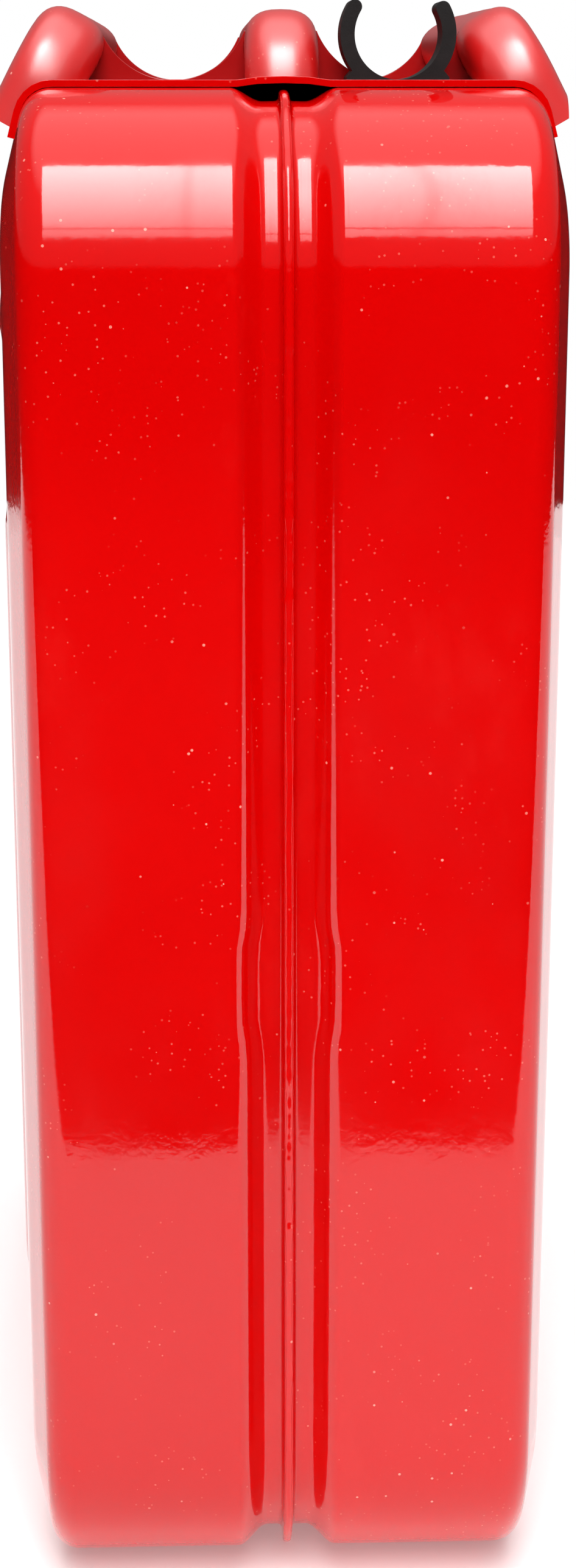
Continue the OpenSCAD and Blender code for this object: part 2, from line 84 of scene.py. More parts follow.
def smooth(t):
    """0 for t below 0, 1 for t above 1, and an even bend between them."""
    t = np.clip(t, 0, 1)
    return t * t * (3 - 2 * t)


# ---------------------------------------------------------------- body outline as a dense closed line
def outline_samples():
    """Centre, radius, angle and sense of each sample, so that the outline can be inset exactly."""
    turn = math.degrees(TURN)
    square = 90 - math.degrees(SLOPE)
    low_slope_z = SLOPE_TOP_Z - SLOPE_LEN * math.sin(SLOPE) - SLOPE_R * math.cos(SLOPE)
    # centre y, centre z, radius, first angle, last angle, sense, steps, steps of the straight that follows
    arcs = [
        (REAR_SHOULDER_START, CORNER, CORNER, 270, 180, 1, 26, 60),
        (REAR_SHOULDER_START, SHOULDER - CORNER, CORNER, 180, 90, 1, 30, 6),
        (REAR_SHOULDER_END, SHOULDER - OUT_R, OUT_R, 90, 90 - turn, 1, 14, 0),
        (REAR_SHOULDER_END + RUN, HOLLOW + IN_R, IN_R, 270 - turn, 270, -1, 10, 8),
        (FRONT_SHOULDER_START - RUN, HOLLOW + IN_R, IN_R, 270, 270 + turn, -1, 10, 0),
        (FRONT_SHOULDER_START, SHOULDER - OUT_R, OUT_R, 90 + turn, 90, 1, 14, 6),
        (FRONT_SHOULDER_END, SHOULDER - SLOPE_R, SLOPE_R, 90, square, 1, 12, 22),
        (FRONT - SLOPE_R, low_slope_z, SLOPE_R, square, 0, 1, 14, 40),
        (FRONT - CORNER, CORNER, CORNER, 0, -90, 1, 26, 44),
    ]
    out = []
    for k, (cy, cz, rad, first, last, sense, steps, straight) in enumerate(arcs):
        begin = 1 if k in (3, 5) else 0
        for i in range(begin, steps + 1):
            out.append((cy, cz, rad, math.radians(first + (last - first) * i / steps), sense))
        # a sample on a straight keeps the direction of the arc before it
        after = arcs[(k + 1) % len(arcs)]
        a = math.radians(last)
        b = math.radians(after[3])
        start = Vector((cy + rad * math.cos(a), cz + rad * math.sin(a)))
        end = Vector((after[0] + after[2] * math.cos(b), after[1] + after[2] * math.sin(b)))
        for i in range(1, straight):
            p = start.lerp(end, i / straight)
            out.append((p.x - rad * math.cos(a), p.y - rad * math.sin(a), rad, a, sense))
    return np.array(out)


SAMPLES = outline_samples()


def outline(inset):
    """The side outline, as y and z, moved inward by inset: one number or one for each sample."""
    rad = SAMPLES[:, 2] - SAMPLES[:, 4] * inset
    angle = SAMPLES[:, 3]
    return np.stack([SAMPLES[:, 0] + rad * np.cos(angle), SAMPLES[:, 1] + rad * np.sin(angle)], 1)


def recess_share():
    """1 where the seam recess is at full depth, less under the rear saddle's lip, 0 at the filler neck."""
    p = outline(0.0)
    under_lip = smooth((p[:, 1] - SHOULDER + LIP_DOWN) / 20)
    under_lip *= 1 - smooth((p[:, 0] - REAR_SHOULDER_START - LIP_IN) / LIP_IN)
    from_neck = np.hypot(p[:, 0] - NECK.y, p[:, 1] - NECK.z) - NECK_CLEAR
    return smooth(from_neck / NECK_FADE) * (1 - LIP_FILL * under_lip)


def dent_span():
    """1 along the rear face where the recess's edge is knocked aside, 0 elsewhere."""
    p = outline(0.0)
    above = smooth((p[:, 1] - DENT_LOW) / DENT_FADE)
    below = 1 - smooth((p[:, 1] - DENT_HIGH) / DENT_FADE)
    return (p[:, 0] < -FRONT + 1) * above * below


SHARE = recess_share()
DENT_SPAN = dent_span()


def relief(p, inner):
    """Pressed relief of the wide side, outward from the margin: a raised panel crossed by two channels."""
    q = p - PANEL_CENTRE
    half = math.hypot(CROSS_Y, CROSS_Z)
    nearest = np.full(len(p), 1e9)
    for way in ((CROSS_Y, CROSS_Z), (CROSS_Y, -CROSS_Z)):
        u = np.array(way) / half
        along = np.clip(q @ u, -half, half)
        nearest = np.minimum(nearest, np.linalg.norm(q - along[:, None] * u, axis=1))
    channel = 1 - smooth((nearest - CHANNEL_HALF) / CHANNEL_RAMP)
    return RISE * inner - (CROSS + RISE * inner) * channel


def flank(depth, off):
    """A point of the flank beside the rear face as (x, depth), moved outward by off."""
    x = MARGIN - (EDGE_MEET - depth) * math.tan(FLARE)
    return x + off * math.cos(FLARE), depth - off * math.sin(FLARE)


EDGE_C = flank(EDGE_R * (1 - math.sin(FLARE)), 0)[0] - EDGE_R * math.cos(FLARE)


def edge_line(off, bend_steps, flank_steps, blend_steps):
    """The edge of a wide side as (x, depth): a tight bend, a straight flank that flares, and the margin."""
    line = []
    for i in range(bend_steps + 1):
        t = (math.pi / 2 - FLARE) * i / bend_steps
        line.append((EDGE_C + (EDGE_R + off) * math.sin(t), EDGE_R - (EDGE_R + off) * math.cos(t)))
    first = EDGE_R * (1 - math.sin(FLARE))
    last = 2 * EDGE_MEET - EDGE_END
    line += [flank(first + (last - first) * i / flank_steps, off) for i in range(1, flank_steps)]
    ax, ad = flank(last, 0)
    for i in range(blend_steps + 1):
        f = i / blend_steps
        t = math.pi / 2 - FLARE * (1 - f)
        x = ax * (1 - f) ** 2 + MARGIN * (2 * f * (1 - f) + f * f)
        depth = ad * (1 - f) ** 2 + EDGE_MEET * 2 * f * (1 - f) + EDGE_END * f * f
        line.append((x + off * math.sin(t), depth - off * math.cos(t)))
    return line


def skin_ring(x, inset, share=0.0, dent=0.0):
    """The outline at one x, moved inward by inset and a share of the recess, and sideways by the dent."""
    q = outline(inset + share * SHARE * RECESS)
    return np.column_stack([x + dent * DENT_SPAN, q])


def seam_rings():
    """Outer rings from the weld flange over the recess to the flat of the rear face."""
    rings = [
        skin_ring(0.04, FLANGE_IN + 0.05),
        skin_ring(0.25, FLANGE_IN),
        skin_ring(FLANGE_X - 0.3, FLANGE_IN),
        skin_ring(FLANGE_X, FLANGE_IN + 0.2),
        skin_ring(FLANGE_X + 0.05, 0.5, 0.35),
        skin_ring(FLANGE_X + 0.15, 0.35, 0.8),
        skin_ring(FLANGE_X + 0.8, 0.3, 0.97),
    ]
    rings += [skin_ring(2.8 + (FLOOR_X - 2.8) * i / 3, 0.3, 1) for i in range(4)]
    steps = 14
    for i in range(1, steps + 1):
        f = i / steps
        ring_x = FLOOR_X + (TOP_X - FLOOR_X) * f
        sideways = 1.1 * math.sin(math.pi * f) ** 0.5
        rings.append(skin_ring(ring_x, 0.3 * (1 - f), float(1 - smooth(f)), sideways))
    return rings


def wide_side(edge, share, x):
    """A ring over a wide side: the edge ring drawn in towards the centre of the channels."""
    q = PANEL_CENTRE + (edge - PANEL_CENTRE) * share
    return np.column_stack([x + relief(q, float(smooth((PANEL_SHARE - share) / PANEL_RAMP))), q])


def ring_faces(count, rings):
    """Four-sided faces between closed rings of count points, with one face over each end."""
    faces = []
    for j in range(rings - 1):
        for i in range(count):
            h = (i + 1) % count
            faces.append((j * count + i, j * count + h, (j + 1) * count + h, (j + 1) * count + i))
    faces.append(tuple(range(count))[::-1])
    faces.append(tuple((rings - 1) * count + i for i in range(count)))
    return faces


def outward_mesh(name, points, faces):
    """A mesh whose faces all point outward."""
    me = bpy.data.meshes.new(name)
    me.from_pydata(points, [], faces)
    bm = bmesh.new()
    bm.from_mesh(me)
    bmesh.ops.recalc_face_normals(bm, faces=bm.faces)
    bm.to_mesh(me)
    bm.free()
    return me


def half_shell(side):
    """One pressed half as a closed skin with thickness: side is 1 for the right half, -1 for the left."""
    outer = seam_rings()
    outer += [skin_ring(x, 0.0) for x in (16.5, 20, 25, 30, 35, 40, 45, 50, 55, 60)]
    outer += [skin_ring(x, depth) for x, depth in edge_line(0.0, 14, 5, 6)]
    edge = outer[-1][:, 1:]
    shares = list(np.linspace(0.988, 0.85, 13)) + list(np.linspace(0.835, 0.02, 48))
    outer += [wide_side(edge, share, MARGIN) for share in shares]
    inner = [wide_side(edge, share, MARGIN - SHEET) for share in shares[::-2]]
    inner += [skin_ring(x, depth) for x, depth in edge_line(-SHEET, 5, 2, 2)[::-1]]
    inner += [
        skin_ring(TOP_X + 1, SHEET),
        skin_ring((TOP_X + FLOOR_X) / 2 + 1, SHEET + 0.2, 0.5),
        skin_ring(FLOOR_X + 1, SHEET + 0.3, 1),
        skin_ring(3, SHEET + 1.2, 1),
        skin_ring(0.04, SHEET + 1.2, 1),
    ]
    rings = inner + outer
    count = len(outer[0])
    points = np.concatenate(rings)
    faces = ring_faces(count, len(rings))
    points[:, 0] *= side
    me = bpy.data.meshes.new("half_shell")
    me.from_pydata((points * MM).tolist(), [], faces if side < 0 else [f[::-1] for f in faces])
    me.update()
    sink_waves(me, len(inner) * count)
    return me


def sink_waves(me, first):
    """Pressing is never quite even: shallow waves, all inward so that the can keeps its size."""
    normals = [v.normal.copy() for v in me.vertices]
    for v, normal in zip(me.vertices, normals):
        if v.index < first:
            continue
        p = v.co / MM
        wide = 0.5 + 0.5 * noise.noise(Vector((p.x * 0.018 + 3, p.y * 0.011, p.z * 0.009)))
        small = 0.5 + 0.5 * noise.noise(Vector((p.x * 0.07, p.y * 0.045, p.z * 0.03 + 5)))
        away = min(1.0, max(0.0, (abs(p.x) - 4) / 6)) * min(1.0, max(0.0, (p.z - 2) / 20))
        v.co -= normal * MM * away * (WAVE_WIDE * wide + WAVE_SMALL * small)
    me.update()


def cut_with(ob, cutters):
    """Takes the cutters away from a piece and keeps the result as its mesh."""
    for cutter in cutters:
        cut = ob.modifiers.new("cut", "BOOLEAN")
        cut.object = cutter
        cut.operation = "DIFFERENCE"
        cut.solver = "EXACT"
    bpy.context.view_layer.update()
    made = bpy.data.meshes.new_from_object(ob.evaluated_get(bpy.context.evaluated_depsgraph_get()))
    ob.modifiers.clear()
    ob.data = made


def neck_cutter():
    """A rod through the shell where the filler neck passes, square to the filler slope."""
    me = bpy.data.meshes.new("cutter")
    bm = bmesh.new()
    radius = (NECK_OUT + 0.1) * MM
    bmesh.ops.create_cone(bm, cap_ends=True, segments=96, radius1=radius, radius2=radius, depth=0.03)
    bm.to_mesh(me)
    bm.free()
    cutter = bpy.data.objects.new("cutter", me)
    scene.collection.objects.link(cutter)
    cutter.location = NECK * MM
    cutter.rotation_euler = (-SLOPE, 0, 0)
    return cutter


def soften(ob, width):
    """Rounds the sharp edges of a piece by width."""
    bevel = ob.modifiers.new("edges", "BEVEL")
    bevel.limit_method = "ANGLE"
    bevel.angle_limit = EDGE_SHARP
    bevel.width = width * MM
    bevel.segments = 3
    ob.modifiers.new("normals", "WEIGHTED_NORMAL").keep_sharp = True


def weld_bead():
    """Uneven bead along the edge of the seam flange, broken only by the filler neck."""
    line = outline(FLANGE_IN)
    way = np.column_stack([np.cos(SAMPLES[:, 3]), np.sin(SAMPLES[:, 3])]) * SAMPLES[:, 4:5]
    near = np.hypot(line[:, 0] - NECK.y, line[:, 1] - NECK.z)
    turn_by = -int(np.argmin(near))
    line = np.roll(line, turn_by, 0)
    way = np.roll(way, turn_by, 0)
    line = np.vstack([line, line[:1]])
    way = np.vstack([way, way[:1]])
    at = np.concatenate([[0], np.cumsum(np.linalg.norm(np.diff(line, axis=0), axis=1))])
    stations = np.arange(NECK_OUT + 1.2, at[-1] - NECK_OUT - 1.2, 1.1)
    centre = np.column_stack([np.interp(stations, at, line[:, k]) for k in (0, 1)])
    out = np.column_stack([np.interp(stations, at, way[:, k]) for k in (0, 1)])
    out /= np.linalg.norm(out, axis=1)[:, None]
    points = []
    section = [math.radians(a) for a in (-50, -10, 20, 50, 90, 130, 160, 190, 230)]
    for s, c, o in zip(stations, centre, out):
        ripple = noise.noise(Vector((s * 0.21, 4.0, 0.0)))
        blob = max(0.0, noise.noise(Vector((s * 0.085, 9.0, 2.0))) - 0.22)
        width = 1.05 + 0.16 * ripple + 0.7 * blob
        height = 0.5 + 0.14 * noise.noise(Vector((s * 0.33, 1.0, 7.0))) + 0.5 * blob
        shift = 0.22 * noise.noise(Vector((s * 0.05, 0.0, 3.0)))
        for a in section:
            y, z = c + o * height * math.sin(a)
            points.append(((shift + width * math.cos(a)) * MM, y * MM, z * MM))
    return outward_mesh("weld_bead", points, ring_faces(len(section), len(stations)))


# ---------------------------------------------------------------- materials
class Nodes:
    """Short ways to add shader nodes to one material."""

    def __init__(self, name):
        self.mat = bpy.data.materials.new(name)
        self.mat.use_nodes = True
        self.tree = self.mat.node_tree
        self.bsdf = self.tree.nodes["Principled BSDF"]
        self.at = self.tree.nodes.new("ShaderNodeTexCoord").outputs["Object"]

    def link(self, a, b):
        self.tree.links.new(a, b)

    def set(self, socket, value):
        self.bsdf.inputs[socket].default_value = value

    def noise(self, scale, detail=2.0, rough=0.5, stretch=None):
        n = self.tree.nodes.new("ShaderNodeTexNoise")
        n.inputs["Scale"].default_value = scale
        n.inputs["Detail"].default_value = detail
        n.inputs["Roughness"].default_value = rough
        if stretch:
            m = self.tree.nodes.new("ShaderNodeMapping")
            m.inputs["Scale"].default_value = stretch
            self.link(self.at, m.inputs["Vector"])
            self.link(m.outputs["Vector"], n.inputs["Vector"])
        else:
            self.link(self.at, n.inputs["Vector"])
        return n.outputs["Fac"]

    def ramp(self, value, stops):
        r = self.tree.nodes.new("ShaderNodeValToRGB")
        elements = r.color_ramp.elements
        while len(elements) < len(stops):
            elements.new(0.5)
        for e, (place, colour) in zip(elements, stops):
            e.position = place
            e.color = (*colour, 1) if isinstance(colour, tuple) else (colour, colour, colour, 1)
        self.link(value, r.inputs["Fac"])
        return r.outputs["Color"]

    def maths(self, operation, a, b):
        m = self.tree.nodes.new("ShaderNodeMath")
        m.operation = operation
        for socket, value in zip(m.inputs, (a, b)):
            if isinstance(value, (int, float)):
                socket.default_value = value
            else:
                self.link(value, socket)
        return m.outputs[0]

    def mix(self, factor, a, b):
        m = self.tree.nodes.new("ShaderNodeMix")
        m.data_type = "RGBA"
        self.link(factor, m.inputs["Factor"])
        for socket, value in ((m.inputs["A"], a), (m.inputs["B"], b)):
            if isinstance(value, tuple):
                socket.default_value = (*value, 1)
            else:
                self.link(value, socket)
        return m.outputs["Result"]

    def bump(self, height, strength, distance, normal=None):
        b = self.tree.nodes.new("ShaderNodeBump")
        b.inputs["Strength"].default_value = strength
        b.inputs["Distance"].default_value = distance
        self.link(height, b.inputs["Height"])
        if normal is not None:
            self.link(normal, b.inputs["Normal"])
        return b.outputs["Normal"]

    def specks(self, scale, size, chance, patch_scale, patch_floor):
        """Small round spots in a share of the cells, gathered in patches.

        scale is the number of cells in a metre and size the radius of a spot, as a share of its cell.
        """
        cells = self.tree.nodes.new("ShaderNodeTexVoronoi")
        cells.inputs["Scale"].default_value = scale
        self.link(self.at, cells.inputs["Vector"])
        spot = self.maths("LESS_THAN", cells.outputs["Distance"], size)
        split = self.tree.nodes.new("ShaderNodeSeparateColor")
        self.link(cells.outputs["Color"], split.inputs["Color"])
        chosen = self.maths("LESS_THAN", split.outputs["Red"], chance)
        patch = self.ramp(self.noise(patch_scale, 3.0, 0.6), [(patch_floor, 0.0), (patch_floor + 0.12, 1.0)])
        return self.maths("MULTIPLY", self.maths("MULTIPLY", spot, chosen), patch)


GLOSSY_COAT = (0.2, 0.03, 1.5)       # weight, roughness and index of the clear top of the paint
WORN_COAT = (0.2, 0.32, 1.9)
PALE_COAT = (1.0, 0.32, 1.9)
SMEAR, FINE_DUST, COARSE_DUST = (0.86, 0.030, 0.024), (0.95, 0.20, 0.15), (0.98, 0.36, 0.28)


def enamel(name, base, dark, gloss, coat, dust=True, peel=0.16):
    """Thick gloss paint over pressed steel: slow tone change, orange peel, dust and faint smears."""
    m = Nodes(name)
    colour = m.ramp(m.noise(7.0, 3.0), [(0.3, dark), (0.6, base)])
    rough = m.ramp(m.noise(16.0, 5.0, 0.65, (1.0, 1.0, 0.6)), [(0.42, gloss), (0.72, gloss + 0.09)])
    if dust:
        fine = m.specks(520.0, 0.16, 0.5, 30.0, 0.5)
        coarse = m.specks(210.0, 0.085, 0.35, 16.0, 0.47)
        smear = m.ramp(m.noise(20.0, 6.0, 0.7, (1.0, 1.0, 0.55)), [(0.58, 0.0), (0.86, 0.25)])
        colour = m.mix(smear, colour, SMEAR)
        colour = m.mix(m.maths("MULTIPLY", fine, 0.55), colour, FINE_DUST)
        colour = m.mix(m.maths("MULTIPLY", coarse, 0.85), colour, COARSE_DUST)
    m.link(colour, m.bsdf.inputs["Base Color"])
    m.link(rough, m.bsdf.inputs["Roughness"])
    m.set("IOR", 1.5)
    for socket, value in zip(("Coat Weight", "Coat Roughness", "Coat IOR"), coat):
        m.set(socket, value)
    normal = m.bump(m.noise(420.0, 2.0), peel, 0.00016)
    normal = m.bump(m.noise(60.0, 1.0), 0.10, 0.0005, normal)
    m.link(normal, m.bsdf.inputs["Normal"])
    return m.mat


def plated_steel(name):
    """Dull zinc plating with fine marks along one way."""
    m = Nodes(name)
    m.link(m.ramp(m.noise(120.0, 4.0), [(0.3, (0.46, 0.46, 0.48)), (0.7, (0.62, 0.62, 0.63))]),
           m.bsdf.inputs["Base Color"])
    marks = m.noise(300.0, 3.0, 0.6, (0.2, 1.0, 1.0))
    m.link(m.ramp(marks, [(0.3, 0.22), (0.7, 0.42)]), m.bsdf.inputs["Roughness"])
    m.set("Metallic", 1.0)
    m.link(m.bump(m.noise(900.0, 2.0), 0.15, 0.0001), m.bsdf.inputs["Normal"])
    return m.mat


def matte_black(name, base, rough, grain):
    """Black plastic or rubber with a slightly uneven tone and a fine grain."""
    m = Nodes(name)
    m.link(m.ramp(m.noise(70.0, 4.0, 0.6), [(0.3, (base,) * 3), (0.75, (base * 1.9,) * 3)]),
           m.bsdf.inputs["Base Color"])
    m.link(m.ramp(m.noise(420.0, 3.0), [(0.3, rough), (0.7, rough + 0.15)]), m.bsdf.inputs["Roughness"])
    m.set("Specular IOR Level", 0.28)
    m.link(m.bump(m.noise(grain, 3.0), 0.3, 0.00012), m.bsdf.inputs["Normal"])
    return m.mat


RED = enamel("red_enamel", (0.68, 0.0004, 0.0005), (0.62, 0.0003, 0.0004), 0.045, GLOSSY_COAT)
RED_HANDLE = enamel("red_enamel_handles", (0.70, 0.004, 0.004), (0.62, 0.002, 0.002), 0.36, PALE_COAT,
                    peel=0.3)
# the webs take a darker copy of the red enamel: painted shade, standing for the shade and dark reflections
# between the handles
RED_PAINTED_SHADE = enamel("red_enamel_webs_painted_shade", (0.42, 0.0006, 0.0012), (0.30, 0.0005, 0.001), 0.2, WORN_COAT,
                   dust=False)
STEEL = plated_steel("zinc_plating")
BLACK = matte_black("clip_plastic", 0.008, 0.5, 1500.0)
RUBBER = matte_black("gasket_rubber", 0.014, 0.62, 900.0)

# ---------------------------------------------------------------- camera, in metres
CAM_DISTANCE = 0.694     # from the rear face
CAM_HEIGHT = 0.452
CAM_SIDE = -0.0232       # a little to the left of the middle plane
CAM_PITCH = math.radians(15.32)
CAM_YAW = math.radians(-1.884)
CAM_LENS, CAM_SENSOR = 59.18, 36.0    # in millimetres
cam_data = bpy.data.cameras.new("camera")
cam = bpy.data.objects.new("camera", cam_data)
scene.collection.objects.link(cam)
scene.camera = cam
cam_data.sensor_fit = "AUTO"
cam_data.sensor_width = CAM_SENSOR
cam_data.lens = CAM_LENS
cam.location = (CAM_SIDE, -FRONT * MM - CAM_DISTANCE, CAM_HEIGHT)
cam.rotation_euler = (math.radians(90) - CAM_PITCH, 0.0, CAM_YAW)


# ---------------------------------------------------------------- pieces
def add_piece(name, me, material, node):
    """Links a new piece, shaded smooth all over, and lets it stand for a CAD node."""
    ob = bpy.data.objects.new(name, me)
    scene.collection.objects.link(ob)
    me.materials.clear()
    me.materials.append(material)
    for face in me.polygons:
        face.use_smooth = True
        face.material_index = 0
    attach(ob, body_of[node])
    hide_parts(node)
    return ob


rod = neck_cutter()
for side, label in ((1, "right"), (-1, "left")):
    shell = add_piece("pressed_shell_" + label, half_shell(side), RED, label + "_shell")
    cut_with(shell, [rod])
bpy.data.objects.remove(rod)

add_piece("weld_bead", weld_bead(), RED, "seam_weld")


# ---------------------------------------------------------------- handles
HANDLE_W, HANDLE_TOP, HANDLE_PITCH, HANDLE_SPLAY = 21.0, 471.0, 62.0, math.radians(28)
TUBE_Z = HANDLE_TOP - HANDLE_W / 2
BEND_R, FOOT = 14.0, 12.0
SADDLE_W, SADDLE_OVER = 38.5, 6.0    # length of a saddle, and how far its cutter reaches past it
END_IN = 26.5                        # from the outer edge of a saddle to where a handle's bend begins
TUBE_ENDS = (REAR_SHOULDER_START + END_IN, FRONT_SHOULDER_END - END_IN)
FOOT_X, FOOT_Z = MARGIN + 1.7, 437.5 # where the outer handles' feet are pressed flat, and where they end
SADDLE_TOP = 1.15                    # upper side of a saddle above the shoulder, with its clearances
BENDS, STRAIGHTS, FOOT_STEPS = 16, 24, 4
EDGE_SOFT = 0.6                      # rounding where a handle is cut off
SECTION, SQUARENESS = 40, 2.7        # points round a handle, and the power of its flattened round section


def shoulder_side(off):
    """Half of the shoulder's cross section, moved outward by off, as (x, z)."""
    points = [(0.0, SHOULDER + off + 1), (7.0, SHOULDER + off + 0.8), (13.0, SHOULDER + off)]
    return points + [(x, SHOULDER - depth) for x, depth in edge_line(off, 8, 2, 3)]


def prism(name, outline_xz, y0, y1):
    """A closed solid with the same cross section all along y, used as a cutter."""
    n = len(outline_xz)
    points = [(x * MM, y * MM, z * MM) for y in (y0, y1) for x, z in outline_xz]
    faces = [tuple(range(n)), tuple(range(2 * n - 1, n - 1, -1))]
    faces += [(i, i + n, (i + 1) % n + n, (i + 1) % n) for i in range(n)]
    ob = bpy.data.objects.new(name, outward_mesh(name, points, faces))
    scene.collection.objects.link(ob)
    return ob


def handle_path():
    """Centre line of a handle in its own plane: y, z and the direction of travel."""
    rear, front = TUBE_ENDS
    turns = [math.pi / 2 * i / BENDS for i in range(BENDS + 1)]
    path = [(rear - BEND_R, -BEND_R - FOOT * (1 - i / FOOT_STEPS), math.pi / 2) for i in range(FOOT_STEPS)]
    path += [(rear - BEND_R * math.cos(a), -BEND_R + BEND_R * math.sin(a), math.pi / 2 - a) for a in turns]
    path += [(rear + (front - rear) * i / STRAIGHTS, 0.0, 0.0) for i in range(1, STRAIGHTS)]
    path += [(front + BEND_R * math.sin(a), -BEND_R + BEND_R * math.cos(a), -a) for a in turns]
    feet = range(1, FOOT_STEPS + 1)
    path += [(front + BEND_R, -BEND_R - FOOT * i / FOOT_STEPS, -math.pi / 2) for i in feet]
    return path


def flattened(t):
    """Turns a cosine or sine into the matching coordinate of a flattened round section."""
    return HANDLE_W / 2 * math.copysign(abs(t) ** (2 / SQUARENESS), t)


def handle_mesh(side):
    """A bar with a flattened round section, bent down at both ends and leaning outward at its feet."""
    points = []
    lean = -side * HANDLE_SPLAY
    path = handle_path()
    for y, z, way in path:
        for i in range(SECTION):
            a = 2 * math.pi * i / SECTION
            u = flattened(math.cos(a))
            v = flattened(math.sin(a)) * (1 - 0.02 * noise.noise(Vector((y * 0.04, side * 5.0, 1.0))))
            py, pz = y - v * math.sin(way), z + v * math.cos(way)
            x = side * HANDLE_PITCH + u * math.cos(lean) + pz * math.sin(lean)
            points.append((x * MM, py * MM, (TUBE_Z - u * math.sin(lean) + pz * math.cos(lean)) * MM))
    return outward_mesh("handle", points, ring_faces(SECTION, len(path)))


def handle_cutters():
    """Solids that trim a handle where it stands on the saddles and where its feet are pressed flat."""
    half = shoulder_side(SADDLE_TOP)
    deep = 370.0
    below = [(-x, z) for x, z in half[:0:-1]] + half
    below += [(MARGIN + SADDLE_TOP, deep), (-MARGIN - SADDLE_TOP, deep)]
    rear, front = REAR_SHOULDER_START, FRONT_SHOULDER_END - SADDLE_W
    far, low, high = 130, 400, 500
    long = (-200, 200)
    return [
        prism("cut_rear", below, rear - SADDLE_OVER, rear + SADDLE_W),
        prism("cut_front", below, front, front + SADDLE_W + SADDLE_OVER),
        prism("cut_right", [(FOOT_X, low), (far, low), (far, high), (FOOT_X, high)], *long),
        prism("cut_left", [(-FOOT_X, low), (-far, low), (-far, high), (-FOOT_X, high)], *long),
        prism("cut_low", [(-far, 390), (far, 390), (far, FOOT_Z), (-far, FOOT_Z)], *long),
    ]


cutters = handle_cutters()
for side, label in ((-1, "left"), (0, "centre"), (1, "right")):
    bar = add_piece("handle_bar_" + label, handle_mesh(side), RED_HANDLE, label + "_handle")
    cut_with(bar, cutters)
    soften(bar, EDGE_SOFT)
for cutter in cutters:
    bpy.data.objects.remove(cutter)


def refined(node, material, round_by):
    """A copy of a CAD node with its edges rounded as paint and pressing leave them."""
    me = nodes[node].data.copy()
    bm = bmesh.new()
    bm.from_mesh(me)
    bmesh.ops.remove_doubles(bm, verts=bm.verts, dist=2e-6)
    bmesh.ops.dissolve_limit(bm, angle_limit=math.radians(0.3), verts=bm.verts, edges=bm.edges)
    bm.to_mesh(me)
    bm.free()
    soften(add_piece(node + "_finished", me, material, node), round_by)


# how far the edges of each remaining node are rounded, by its material
FINISHES = {
    RED: {"filler_neck": 0.4, "rear_saddle": 0.35, "front_saddle": 0.35, "hinge_bracket": 0.4,
          "catch_bracket": 0.4, "lid": 0.7, "hinge_strap": 0.35, "lever": 0.35},
    RED_PAINTED_SHADE: {"rear_web": 0.4, "front_web": 0.4},
    STEEL: {"vent_tube": 0.15, "clip_rivets": 0.12, "lid_hinge_pin": 0.4, "catch_pin": 0.4,
            "gasket_plate": 0.2, "gasket_rivet": 0.25, "lever_pin": 0.4},
    BLACK: {"spout_clip": 0.35},
    RUBBER: {"lid_gasket": 0.25},
}
for finish, rounding in FINISHES.items():
    for node, amount in rounding.items():
        refined(node, finish, amount)


# ---------------------------------------------------------------- stage: floor, cards and light, in metres
FACE_Y = -FRONT * MM
FLOOR_R, FLOOR_GLOW = 2.0, 0.22
CARD_START = 0.348                   # the dark card starts this far in front of the rear face
CARD_W, CARD_LEN = 4.2, 2.2
SIDE_W, SIDE_LEN, SIDE_GAP, SIDE_LIGHT = 1.9, 1.75, 0.1, 1.2
WINDOW_FAR, WINDOW_UP = 2.4, math.radians(48)
WINDOW_W, WINDOW_H = 1.1, 2.14
WINDOW_AIM = Vector((0, FACE_Y, 0.42))
WINDOW_TILT = (math.radians(90) - WINDOW_UP, 0, 0)
BARS = ((0.251, 0.014), (-0.035, 0.012))    # place and width of the window's upright bars
RAIL_UP, RAIL_H, BAR_NEARER = -0.80, 0.045, 0.02


def link_stage(ob):
    """Puts an object of the stage, which is no part of the can, into the scene."""
    scene.collection.objects.link(ob)


def plane(name, size, loc, mat, rot=(0, 0, 0)):
    """A flat card that the camera doesn't see: it works only through its light and its reflection."""
    me = bpy.data.meshes.new(name)
    w, h = size[0] / 2, size[1] / 2
    me.from_pydata([(-w, -h, 0), (w, -h, 0), (w, h, 0), (-w, h, 0)], [], [(0, 1, 2, 3)])
    me.materials.append(mat)
    ob = bpy.data.objects.new(name, me)
    ob.location = loc
    ob.rotation_euler = rot
    ob.visible_camera = False
    link_stage(ob)
    return ob


def gloss_card(name, size, loc, mat):
    """A card on the floor that shows only in glossy reflections and neither shades nor lights the floor."""
    card = plane(name, size, loc, mat)
    card.visible_diffuse = False
    card.visible_shadow = False


def flat_mat(name, colour, glow=0.0):
    """A plain matte material, which may glow a little."""
    m = Nodes(name)
    m.set("Base Color", (colour, colour, colour, 1))
    m.set("Roughness", 0.9)
    m.set("Specular IOR Level", 0.2)
    if glow:
        m.set("Emission Color", (1, 1, 1, 1))
        m.set("Emission Strength", glow)
    return m.mat


def light_mat(name, low, high):
    """An even light, or one that grows from low at the foot of a card to high at its top."""
    m = Nodes(name)
    coords = m.tree.nodes.new("ShaderNodeTexCoord").outputs["Generated"]
    split = m.tree.nodes.new("ShaderNodeSeparateXYZ")
    m.link(coords, split.inputs[0])
    glow = m.tree.nodes.new("ShaderNodeEmission")
    spread = m.tree.nodes.new("ShaderNodeMapRange")
    spread.inputs["To Min"].default_value = low
    spread.inputs["To Max"].default_value = high
    m.link(split.outputs["Y"], spread.inputs["Value"])
    m.link(spread.outputs["Result"], glow.inputs["Strength"])
    m.link(glow.outputs[0], m.tree.nodes["Material Output"].inputs["Surface"])
    return m.mat


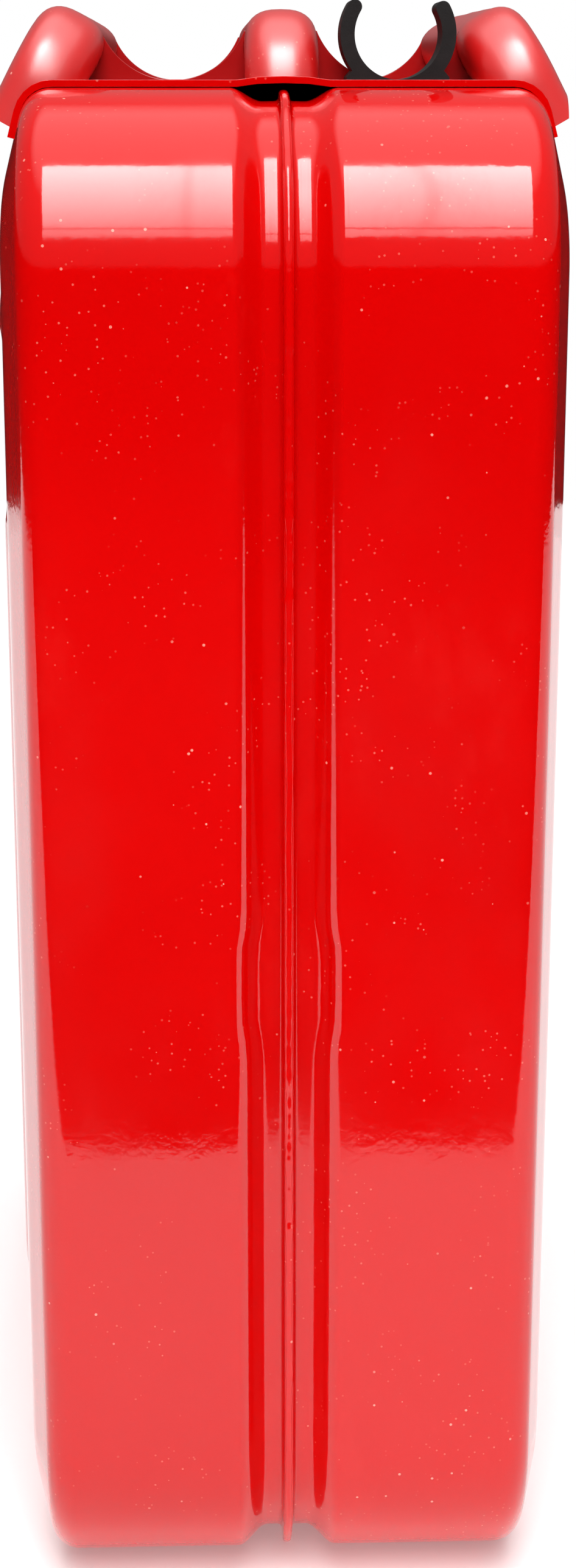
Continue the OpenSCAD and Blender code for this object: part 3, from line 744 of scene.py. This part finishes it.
def round_floor():
    """A pale round floor, just under the can."""
    me = bpy.data.meshes.new("floor")
    bm = bmesh.new()
    bmesh.ops.create_circle(bm, cap_ends=True, segments=96, radius=FLOOR_R)
    bm.to_mesh(me)
    bm.free()
    # the floor glows a little so that it reads as a seamless white sweep
    me.materials.append(flat_mat("floor_white", 0.95, FLOOR_GLOW))
    floor = bpy.data.objects.new("floor", me)
    floor.location = (0, 0, -0.0004)
    link_stage(floor)


def floor_cards(dark):
    """Cards on the floor that are seen only in the gloss of the paint."""
    # a dark card in front of the can, as beyond a table's edge, keeps the rear face a deep red
    gloss_card("card_front", (CARD_W, CARD_LEN), (0, FACE_Y - CARD_START - CARD_LEN / 2, 0.002), dark)
    # bright cards beside and behind the can make its flanks pale
    bright = light_mat("card_light", SIDE_LIGHT, SIDE_LIGHT)
    for side in (-1, 1):
        place = (side * (SIDE_GAP + SIDE_W / 2), FACE_Y + 0.02 + SIDE_LEN / 2, 0.001)
        gloss_card("card_side", (SIDE_W, SIDE_LEN), place, bright)


def at_window(x, up, nearer):
    """A place on the window, measured from its centre, or a little nearer to the can."""
    toward = Vector((0, -math.cos(WINDOW_UP), math.sin(WINDOW_UP)))
    upward = Vector((0, math.sin(WINDOW_UP), math.cos(WINDOW_UP)))
    return WINDOW_AIM + toward * (WINDOW_FAR - nearer) + upward * up + Vector((x, 0, 0))


def tall_window(dark):
    """A window in front of the can and above it, square to the line of sight from its rear top corner."""
    size = (WINDOW_W, WINDOW_H)
    plane("window", size, at_window(0, 0, 0), light_mat("window_light", 3.0, 16.0), WINDOW_TILT)
    for x, width in BARS:
        plane("window_bar", (width, WINDOW_H), at_window(x, 0, BAR_NEARER), dark, WINDOW_TILT)
    plane("window_rail", (WINDOW_W, RAIL_H), at_window(0, RAIL_UP, BAR_NEARER), dark, WINDOW_TILT)


# brightness of the room by the sine of the elevation: dark at the horizon, dim walls, bright ceiling
LEVELS = ((0.0, 0.012), (0.08, 0.012), (0.12, 0.2), (0.75, 0.3), (0.88, 1.4), (1.0, 1.6))


def room_light():
    """Soft light by elevation, behind a plain white background for the camera."""
    world = bpy.data.worlds.new("world")
    scene.world = world
    world.use_nodes = True
    tree = world.node_tree
    link = tree.links.new
    sky = tree.nodes["Background"]
    split = tree.nodes.new("ShaderNodeSeparateXYZ")
    link(tree.nodes.new("ShaderNodeTexCoord").outputs["Generated"], split.inputs[0])
    levels = tree.nodes.new("ShaderNodeValToRGB")
    elements = levels.color_ramp.elements
    while len(elements) < len(LEVELS):
        elements.new(0.5)
    for element, (place, level) in zip(elements, LEVELS):
        element.position = place
        element.color = (level, level, level, 1)
    link(split.outputs["Z"], levels.inputs["Fac"])
    white = tree.nodes.new("ShaderNodeBackground")
    white.inputs["Color"].default_value = (1, 1, 1, 1)
    white.inputs["Strength"].default_value = 1.0
    pick = tree.nodes.new("ShaderNodeMixShader")
    link(tree.nodes.new("ShaderNodeLightPath").outputs["Is Camera Ray"], pick.inputs["Fac"])
    link(levels.outputs["Color"], sky.inputs["Color"])
    link(sky.outputs[0], pick.inputs[1])
    link(white.outputs[0], pick.inputs[2])
    link(pick.outputs[0], tree.nodes["World Output"].inputs["Surface"])


DARK = flat_mat("card_dark", 0.004)
round_floor()
floor_cards(DARK)
tall_window(DARK)
room_light()
scene.view_settings.view_transform = "Standard"
